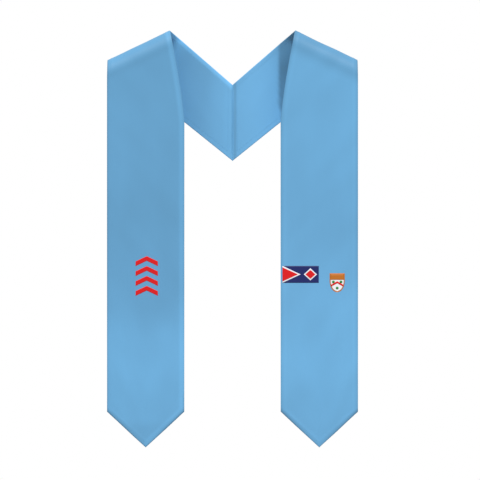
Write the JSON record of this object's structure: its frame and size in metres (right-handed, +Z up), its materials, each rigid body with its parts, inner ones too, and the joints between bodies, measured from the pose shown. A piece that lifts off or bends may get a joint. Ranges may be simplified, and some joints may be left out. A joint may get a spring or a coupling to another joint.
{
  "type": "graduation stole",
  "caption": "Satin graduation stole as it hangs on the shoulders, with pointed front panels, rolled shoulders and a V behind the neck.",
  "frame": {"origin": "on the plane of symmetry, half way between the front and the back layer, at the height where the shoulders carry the cloth", "axes": "+Z up, -Y the front, +X to the right of someone who looks at the front"},
  "size_m": [0.428, 0.0585, 0.712],
  "materials": {
    "face_satin": "satin",
    "backing_satin": "satin",
    "print_red": "satin",
    "print_navy": "satin",
    "print_white": "satin",
    "print_gold": "satin",
    "print_green": "satin"
  },
  "bodies": {
    "root": {"left_face": "face_satin", "left_backing": "backing_satin", "right_face": "face_satin", "right_backing": "backing_satin"}
  },
  "joints": []
}
